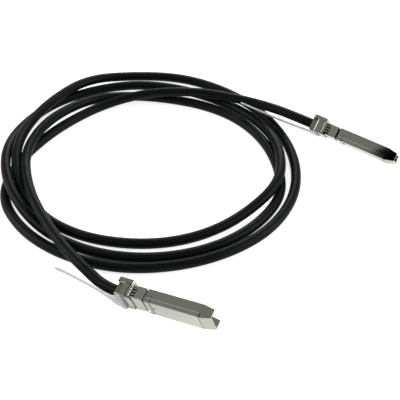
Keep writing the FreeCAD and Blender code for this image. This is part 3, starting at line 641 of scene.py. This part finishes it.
@dataclass
class PullStrap:
    """The flat moulded strap that pulls the release slider."""

    lie: PlugLie
    root_rear: float = -18.2
    root_front: float = -13.9
    floor: float = 4.97
    thick: float = 0.9
    edge: float = 0.3
    corner: float = 1.8
    step: float = 1.5
    tip: float = 3.6
    tip_width: float = 0.8
    arc_step: float = 15.0
    corners: int = 16

    def course(self, behind: float) -> StrapStation:
        """The strap's place at a distance behind its root, on a smooth course through its stations.

        Args:
            behind: the distance, in millimetres.

        Returns:
            The place there.
        """
        stations = self.lie.strap
        last = len(stations) - 1
        index = next((k for k in range(last) if behind <= stations[k + 1].behind), last - 1)
        here, there = stations[index], stations[index + 1]
        before = stations[max(index - 1, 0)]
        after = stations[min(index + 2, last)]
        span = there.behind - here.behind
        share = (behind - here.behind) / span

        def along(pick: str) -> float:
            """One measure there, on a cubic curve that keeps the course's slope.

            Args:
                pick: the measure's name in StrapStation.

            Returns:
                Its value, in millimetres or degrees.
            """
            low, high = getattr(here, pick), getattr(there, pick)
            slope_in = (high - getattr(before, pick)) / max(there.behind - before.behind, 1e-6) * span
            slope_out = (getattr(after, pick) - low) / max(after.behind - here.behind, 1e-6) * span
            square, cube = share * share, share ** 3
            return (low * (2 * cube - 3 * square + 1) + slope_in * (cube - 2 * square + share)
                    + high * (3 * square - 2 * cube) + slope_out * (cube - square))

        width = here.width + (there.width - here.width) * share * share * (3 - 2 * share)
        return StrapStation(behind, along("shift"), along("lift"), along("twist"), width)

    def frame_at(self, station: StrapStation) -> tuple[Vector, Vector, Vector]:
        """The strap's middle, and its directions across and outward, at a place.

        Args:
            station: the place.

        Returns:
            The middle in metres and two unit vectors, in the model's frame.
        """
        angle = math.radians(station.twist)
        place = self.lie.matrix()
        middle = place @ Vector((self.root_rear - station.behind, station.shift,
                                 self.floor + self.thick / 2 + station.lift))
        turn = self.lie.turn().to_matrix()
        return (middle, turn @ Vector((0, math.cos(angle), math.sin(angle))),
                turn @ Vector((0, -math.sin(angle), math.cos(angle))))

    def root(self, behind: float, turn: float) -> StrapStation:
        """A place on the wide root, as far into its round corner as an angle says.

        Args:
            behind: the place's distance behind the root's rear, in millimetres.
            turn: the angle, in radians, 0 where the root has its full width.

        Returns:
            The place.
        """
        return StrapStation(behind, 0, 0, 0, STRAP_WIDE - 2 * self.corner * (1 - math.cos(turn)))

    def stations(self) -> list[StrapStation]:
        """Every place where the strap has a cross-section, from its front to its round tip."""
        front = self.root_front - self.root_rear
        arc = [math.radians(self.arc_step * k) for k in range(7)]
        places = [self.root(self.corner * (1 - math.sin(turn)) - front, turn) for turn in reversed(arc)]
        places += [self.root(self.corner * (math.sin(turn) - 1), turn) for turn in arc[:5]]
        length = self.lie.strap[-1].behind
        count = int(length / self.step)
        places += [self.course(length * k / count) for k in range(count + 1)]
        end = places[-1]
        places += [StrapStation(length + self.tip * math.sin(turn), end.shift, end.lift, end.twist,
                                max(end.width * math.cos(turn), self.tip_width)) for turn in arc[1:]]
        return places

    def course_mesh(self) -> bpy.types.Mesh:
        """The strap's course as a line of points that carry its directions and width."""
        stations = self.stations()
        frames = [self.frame_at(station) for station in stations]
        mesh = bpy.data.meshes.new(f"strap_course_{self.lie.name}")
        mesh.from_pydata([middle for middle, _, _ in frames],
                         [(k, k + 1) for k in range(len(frames) - 1)], [])
        for name, kind, values in (
                ("spine", "FLOAT_VECTOR", [middle for middle, _, _ in frames]),
                ("across", "FLOAT_VECTOR", [across for _, across, _ in frames]),
                ("outward", "FLOAT_VECTOR", [outward for _, _, outward in frames]),
                ("half", "FLOAT", [station.width / 2 * MM for station in stations])):
            layer = mesh.attributes.new(name, kind, "POINT")
            for item, value in zip(layer.data, values):
                setattr(item, "vector" if kind == "FLOAT_VECTOR" else "value", value)
        return mesh

    def build(self) -> bpy.types.Object:
        """The strap as one closed mesh, swept along its course."""
        sweep = StrapSweep(f"strap_sweep_{self.lie.name}")
        carrier = bpy.data.objects.new(f"strap_course_{self.lie.name}", self.course_mesh())
        bpy.context.scene.collection.objects.link(carrier)
        mesh = sweep.run(carrier, {"Rise": self.thick / 2 * MM, "Edge": self.edge * MM,
                                   "Corners": self.corners, "Finish": STRAP.material()})
        shape = bmesh.new()
        shape.from_mesh(mesh)
        obj = link_mesh(f"pull_strap_{self.lie.name}_moulded", shape)
        obj.data.materials.append(mesh.materials[0])
        bpy.data.meshes.remove(mesh)
        smooth(obj)
        return obj

    def dress(self) -> bpy.types.Object:
        """Builds the strap, gives it its finish and ties it to its slider."""
        obj = self.build()
        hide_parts(f"pull_strap_{self.lie.name}")
        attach(obj, self.lie.body.value)
        LOG.info("strap %s: %d faces", self.lie.name, len(obj.data.polygons))
        return obj


@dataclass
class Plug:
    """One plug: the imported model's own pieces in their finishes."""

    lie: PlugLie

    def plated(self) -> dict[str, PlatedFinish]:
        """The plated pieces and their finishes."""
        return {
            "base_shell": CASTING, "rear_clamp": CASTING, "top_cover": STAMPING,
            "spring_collar": SPRING_SHEET, "release_slider": STAMPING, "return_spring": SPRING_SHEET,
            "strap_pins": STAMPING, "clamp_screws": STAMPING, "crimp_ferrule": COPPER,
            "contact_pads": GOLD,
        }

    def moulded(self) -> dict[str, MouldedFinish]:
        """The other pieces and their finishes."""
        return {"paddle_card": CARD, "memory_chip": CHIP, "blocking_capacitors": CERAMIC,
                "signal_pairs": CORE, "potting_block": POTTING}

    def paint(self, piece: str, material: bpy.types.Material) -> None:
        """Gives one of the plug's pieces a material.

        Args:
            piece: the piece's name without the plug's letter.
            material: what it is dressed in.
        """
        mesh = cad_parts[f"{piece}_{self.lie.name}"].data
        mesh.materials.clear()
        mesh.materials.append(material)

    def dress(self) -> None:
        """Gives every piece of the plug its finish."""
        for piece, finish in self.plated().items():
            self.paint(piece, finish.material(self.lie, PAINTED_LIGHT_PATCHES.get(piece, ())))
        for piece, finish in self.moulded().items():
            self.paint(piece, finish.material())
        PullStrap(self.lie).dress()
        LOG.info("plug %s dressed", self.lie.name)


# Turn after turn from plug a, one place every Cable.step degrees: the distance from the coil's middle in
# millimetres, and the height in cable diameters.
COIL_TURNS = (
    ((97, 1.65), (86.5, 1.9), (82, 1.8), (82, 1.6), (80, 1.6), (78, 1.35),
     (79.5, 0.7), (73.5, 0.5), (69.5, 0.5), (70.5, 0.5), (74, 0.5), (78, 0.5),
     (83, 0.5), (91, 0.5), (91, 0.5), (90, 0.5), (89, 0.5), (89, 0.5)),
    ((90, 0.5), (92, 0.8), (94, 1.65), (95.5, 1.6), (98.5, 0.5), (96.5, 0.5),
     (91.5, 0.5), (88, 0.5), (83.5, 0.5), (81, 0.5), (83, 0.5), (84.5, 0.9),
     (86, 1.5), (88, 1.6), (80, 0.7), (77.5, 0.5), (77, 0.5), (77.5, 0.5)),
    ((80.5, 0.5), (84, 0.5), (87, 0.9), (89, 1.7), (90, 1.6), (91.5, 1.65),
     (98.5, 1.35), (98, 0.6), (97, 0.5), (94, 0.5), (92.5, 0.5), (93, 0.5),
     (96, 0.5), (99, 0.5), (99.5, 0.5), (97.5, 0.5), (96.5, 0.5), (97.5, 0.5)),
    ((98.5, 0.5), (100, 0.5), (99.5, 0.5), (87, 0.5), (76.5, 0.5), (71.5, 0.5),
     (70.5, 0.6), (67.5, 1.3), (68.5, 1.65), (76.5, 1.6)),
)


@dataclass
class Cable:
    """The one length of cable, from inside one plug's cuff to inside the other's."""

    diameter: float = 6.6
    middle: tuple[float, float] = (-57.4, 48.8)
    first: float = -120.0
    step: float = 20.0
    start: tuple[Point, ...] = ((-66.14, -72.78, 8.43), (-78.41, -66.34, 6.16), (-92.5, -52.4, 9.2))
    end: tuple[Point, ...] = ((10.5, 105.6, 10.8), (29.5, 95.1, 11.6), (45.22, 82.69, 12.67),
                              (57.2, 75.44, 11.57))
    length: float = 2.06
    along: int = 8
    around: int = 6

    def coil(self) -> list[Point]:
        """The coil's points, turn after turn, each pushed out as far as the bend passes inside it."""
        out = 1 / math.cos(math.radians(self.step / 2))
        points = []
        for number, (radius, height) in enumerate(pair for turn in COIL_TURNS for pair in turn):
            angle = math.radians(self.first - number * self.step)
            points.append((self.middle[0] + radius * out * math.cos(angle),
                           self.middle[1] + radius * out * math.sin(angle), height * self.diameter))
        return points

    def build(self) -> bpy.types.Object:
        """The cable as one smooth curve."""
        points = [*self.start, *self.coil(), *self.end]
        curve = bpy.data.curves.new("cable", "CURVE")
        curve.dimensions = "3D"
        spline = curve.splines.new("NURBS")
        spline.points.add(len(points) - 1)
        for control, point in zip(spline.points, points):
            control.co = (*(Vector(point) * MM), 1.0)
        spline.order_u = 3
        spline.use_endpoint_u = True
        spline.resolution_u = self.along
        curve.bevel_depth = self.diameter / 2 * MM
        curve.bevel_resolution = self.around
        curve.use_fill_caps = True
        obj = bpy.data.objects.new("cable", curve)
        bpy.context.scene.collection.objects.link(obj)
        return obj

    def dress(self) -> bpy.types.Object:
        obj = self.build()
        obj.data.materials.append(JACKET.material())
        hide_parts("cable_lead_a", "cable_lead_b", "cable_coil")
        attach(obj, Body.MAIN.value)
        LOG.info("cable: %d points", len(obj.data.splines[0].points))
        return obj


@dataclass
class Studio:
    """The floor, the light and the camera."""

    floor_size: float = 3.0
    floor_glow: float = 0.76
    mirror_glow: float = 0.45
    sky: float = 0.28
    gap_toward: Point = (-0.358, -0.485, 0.798)
    gap_reach: float = 4.0
    gap_edge: float = 0.15
    floor_white: float = 0.86
    floor_roughness: float = 0.9
    lamp_size: float = 0.6
    lamp_power: float = 5.0
    camera_at: Point = (-24.4, -391.4, 377.8)
    looks_at: Point = (-24.4, 13.8, 0.0)
    lens: float = 77.5
    sensor: float = 36.0
    nearest: float = 0.01

    def floor(self) -> bpy.types.Object:
        """A plain white floor that keeps the object's shadow."""
        shape = bmesh.new()
        bmesh.ops.create_grid(shape, x_segments=1, y_segments=1, size=self.floor_size / 2)
        obj = link_mesh("floor", shape)
        bench = NodeBench("floor_white")
        bench.value("Base Color", (self.floor_white, self.floor_white, self.floor_white, 1.0))
        bench.value("Roughness", self.floor_roughness)
        bench.value("Specular IOR Level", 0.0)
        path = bench.add("LightPath")
        also = bench.add("Math", operation="MAXIMUM")
        bench.link(path.outputs["Is Glossy Ray"], also.inputs[0])
        bench.link(path.outputs["Is Transmission Ray"], also.inputs[1])
        seen = bench.add("Math", operation="MULTIPLY")
        seen.inputs[1].default_value = self.floor_glow
        bench.link(path.outputs["Is Camera Ray"], seen.inputs[0])
        lift = bench.add("Math", operation="MULTIPLY_ADD")
        lift.inputs[1].default_value = self.mirror_glow
        bench.link(also.outputs[0], lift.inputs[0])
        bench.link(seen.outputs[0], lift.inputs[2])
        glow = bench.add("Emission")
        bench.link(lift.outputs[0], glow.inputs["Strength"])
        both = bench.add("AddShader")
        bench.link(bench.shader.outputs[0], both.inputs[0])
        bench.link(glow.outputs[0], both.inputs[1])
        bench.link(both.outputs[0], bench.tree.nodes["Material Output"].inputs["Surface"])
        obj.data.materials.append(bench.material)
        return obj

    def lamp(self, name: str, at: Point) -> bpy.types.Object:
        """A square soft lamp that faces the middle of the floor.

        Args:
            name: its name.
            at: where it hangs, in metres.

        Returns:
            The lamp.
        """
        data = bpy.data.lights.new(name, "AREA")
        data.size = self.lamp_size
        data.energy = self.lamp_power
        obj = bpy.data.objects.new(name, data)
        obj.location = at
        obj.rotation_euler = (-Vector(at)).to_track_quat("-Z", "Y").to_euler()
        bpy.context.scene.collection.objects.link(obj)
        return obj

    def world(self) -> None:
        """Even pale light from all round, with one dark gap in it that the metal mirrors."""
        world = bpy.data.worlds.new("studio")
        world.use_nodes = True
        nodes, links = world.node_tree.nodes, world.node_tree.links
        background = nodes["Background"]
        background.inputs["Color"].default_value = (1, 1, 1, 1)
        way = nodes.new("ShaderNodeTexCoord")
        facing = nodes.new("ShaderNodeVectorMath")
        facing.operation = "DOT_PRODUCT"
        facing.inputs[1].default_value = Vector(self.gap_toward).normalized()
        links.new(way.outputs["Generated"], facing.inputs[0])
        gap = nodes.new("ShaderNodeMapRange")
        gap.inputs["From Min"].default_value = math.cos(math.radians(self.gap_reach + self.gap_edge))
        gap.inputs["From Max"].default_value = math.cos(math.radians(self.gap_reach - self.gap_edge))
        links.new(facing.outputs["Value"], gap.inputs["Value"])
        path = nodes.new("ShaderNodeLightPath")
        shut = nodes.new("ShaderNodeMath")
        shut.operation = "MULTIPLY"
        links.new(gap.outputs["Result"], shut.inputs[0])
        links.new(path.outputs["Is Glossy Ray"], shut.inputs[1])
        level = nodes.new("ShaderNodeMapRange")
        level.inputs["To Min"].default_value = self.sky
        level.inputs["To Max"].default_value = 0.0
        links.new(shut.outputs[0], level.inputs["Value"])
        white = nodes.new("ShaderNodeMath")
        white.operation = "MAXIMUM"
        links.new(level.outputs["Result"], white.inputs[0])
        links.new(path.outputs["Is Camera Ray"], white.inputs[1])
        links.new(white.outputs[0], background.inputs["Strength"])
        bpy.context.scene.world = world

    def camera(self) -> bpy.types.Object:
        """The camera, level, aimed at the middle of its view."""
        data = bpy.data.cameras.new("camera")
        data.lens = self.lens
        data.sensor_width = self.sensor
        data.clip_start = self.nearest
        obj = bpy.data.objects.new("camera", data)
        obj.location = Vector(self.camera_at) * MM
        toward = (Vector(self.looks_at) - Vector(self.camera_at)) * MM
        obj.rotation_euler = toward.to_track_quat("-Z", "Y").to_euler()
        bpy.context.scene.collection.objects.link(obj)
        bpy.context.scene.camera = obj
        return obj

    def dress(self) -> None:
        """Sets up all of it."""
        self.floor()
        self.world()
        self.camera()
        self.lamp("left", (-1.0, 0.1, 0.55))
        self.lamp("right", (0.95, -0.1, 0.55))
        self.lamp("back", (0.1, 1.1, 0.55))
        bpy.context.scene.view_settings.view_transform = "Standard"


def main() -> None:
    """Builds the whole dressed model and its studio."""
    logging.basicConfig(level=logging.INFO, format="%(name)s: %(message)s")
    Cable().dress()
    for lie in (LIE_A, LIE_B):
        Plug(lie).dress()
    Studio().dress()
    LOG.info("sizes written")


if __name__ == "__main__":
    main()
